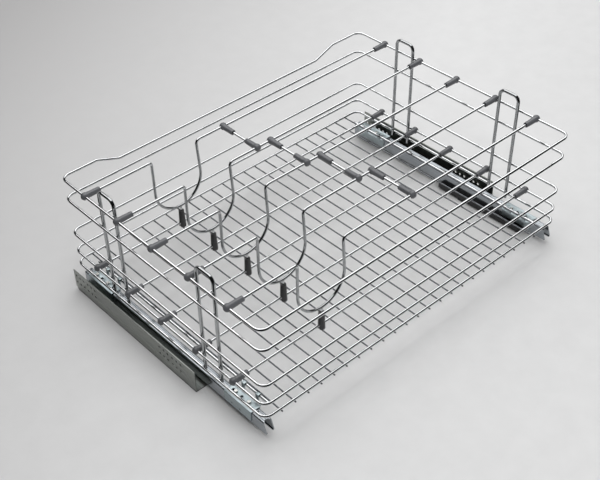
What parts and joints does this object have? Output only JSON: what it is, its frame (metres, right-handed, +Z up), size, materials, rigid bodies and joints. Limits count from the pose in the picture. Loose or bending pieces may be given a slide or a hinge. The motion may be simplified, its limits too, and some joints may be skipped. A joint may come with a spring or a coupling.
{
  "type": "pull-out pan basket",
  "caption": "Wire pan basket with dipped dividers on under-mounted telescopic rails that screw to the side walls of a kitchen base cabinet.",
  "frame": {"origin": "on the cabinet floor, under the middle of the basket pushed in", "axes": "X across the cabinet, -Y towards the front where the basket pulls out, Z up"},
  "size_m": [0.664, 0.467, 0.2393],
  "materials": {
    "chrome_wire": "bright chrome plating",
    "grey_plastic": "satin moulded",
    "rail_sheet": "zinc-plated sheet",
    "bracket_sheet": "blue zinc-plated sheet",
    "screw_steel": "bright zinc",
    "cage_plastic": "natural acetal",
    "black_plastic": "moulded",
    "damper_metal": "turned"
  },
  "bodies": {
    "cabinet": {"left_cabinet_rail": "rail_sheet", "left_striker_pin": "screw_steel", "right_cabinet_rail": "rail_sheet", "right_striker_pin": "screw_steel"},
    "drawer": {"bottom_ring": "chrome_wire", "lower_ring": "chrome_wire", "middle_ring": "chrome_wire", "upper_ring": "chrome_wire", "top_ring": "chrome_wire", "floor_wires": "chrome_wire", "link_wires": "chrome_wire", "post_pins": "chrome_wire", "post_sleeves": "grey_plastic", "link_sleeves": "grey_plastic", "bracket_screws": "screw_steel", "lower_wire_1": "chrome_wire", "divider_wire_1": "chrome_wire", "lower_wire_2": "chrome_wire", "divider_wire_2": "chrome_wire", "lower_wire_3": "chrome_wire", "divider_wire_3": "chrome_wire", "lower_wire_4": "chrome_wire", "divider_wire_4": "chrome_wire", "lower_wire_5": "chrome_wire", "divider_wire_5": "chrome_wire", "left_side_rod": "chrome_wire", "left_front_loop": "chrome_wire", "left_rear_loop": "chrome_wire", "left_upper_sleeves": "grey_plastic", "left_lower_sleeves": "grey_plastic", "left_drawer_rail": "rail_sheet", "left_front_bracket": "bracket_sheet", "left_rear_bracket": "bracket_sheet", "left_close_housing": "black_plastic", "left_close_damper": "damper_metal", "right_side_rod": "chrome_wire", "right_front_loop": "chrome_wire", "right_rear_loop": "chrome_wire", "right_upper_sleeves": "grey_plastic", "right_lower_sleeves": "grey_plastic", "right_drawer_rail": "rail_sheet", "right_front_bracket": "bracket_sheet", "right_rear_bracket": "bracket_sheet", "right_close_housing": "black_plastic", "right_close_damper": "damper_metal"},
    "left_middle": {"left_middle_rail": "rail_sheet"},
    "left_lower_carrier": {"left_lower_cage": "cage_plastic", "left_lower_rollers": "screw_steel"},
    "left_upper_carrier": {"left_upper_cage": "cage_plastic", "left_upper_rollers": "screw_steel"},
    "left_catch": {"left_close_catch": "black_plastic", "left_close_rod": "screw_steel"},
    "right_middle": {"right_middle_rail": "rail_sheet"},
    "right_lower_carrier": {"right_lower_cage": "cage_plastic", "right_lower_rollers": "screw_steel"},
    "right_upper_carrier": {"right_upper_cage": "cage_plastic", "right_upper_rollers": "screw_steel"},
    "right_catch": {"right_close_catch": "black_plastic", "right_close_rod": "screw_steel"}
  },
  "joints": [
    {"name": "drawer_slide", "type": "slide", "parent": "cabinet", "child": "drawer", "axis": [0, -1, 0], "range_m": [0, 0.42]},
    {"name": "left_middle_slide", "type": "slide", "parent": "cabinet", "child": "left_middle", "axis": [0, -1, 0], "range_m": [0, 0.21]},
    {"name": "left_lower_carrier_slide", "type": "slide", "parent": "cabinet", "child": "left_lower_carrier", "axis": [0, -1, 0], "range_m": [0, 0.105]},
    {"name": "left_upper_carrier_slide", "type": "slide", "parent": "cabinet", "child": "left_upper_carrier", "axis": [0, -1, 0], "range_m": [0, 0.315]},
    {"name": "left_catch_slide", "type": "slide", "parent": "drawer", "child": "left_catch", "axis": [0, 1, 0], "range_m": [0, 0.035], "stiffness_N_per_m": 60},
    {"name": "right_middle_slide", "type": "slide", "parent": "cabinet", "child": "right_middle", "axis": [0, -1, 0], "range_m": [0, 0.21]},
    {"name": "right_lower_carrier_slide", "type": "slide", "parent": "cabinet", "child": "right_lower_carrier", "axis": [0, -1, 0], "range_m": [0, 0.105]},
    {"name": "right_upper_carrier_slide", "type": "slide", "parent": "cabinet", "child": "right_upper_carrier", "axis": [0, -1, 0], "range_m": [0, 0.315]},
    {"name": "right_catch_slide", "type": "slide", "parent": "drawer", "child": "right_catch", "axis": [0, 1, 0], "range_m": [0, 0.035], "stiffness_N_per_m": 60}
  ],
  "couplings": [
    {"joint": "left_middle_slide", "follows": "drawer_slide", "ratio": 0.5},
    {"joint": "left_lower_carrier_slide", "follows": "drawer_slide", "ratio": 0.25},
    {"joint": "left_upper_carrier_slide", "follows": "drawer_slide", "ratio": 0.75},
    {"joint": "right_middle_slide", "follows": "drawer_slide", "ratio": 0.5},
    {"joint": "right_lower_carrier_slide", "follows": "drawer_slide", "ratio": 0.25},
    {"joint": "right_upper_carrier_slide", "follows": "drawer_slide", "ratio": 0.75}
  ]
}
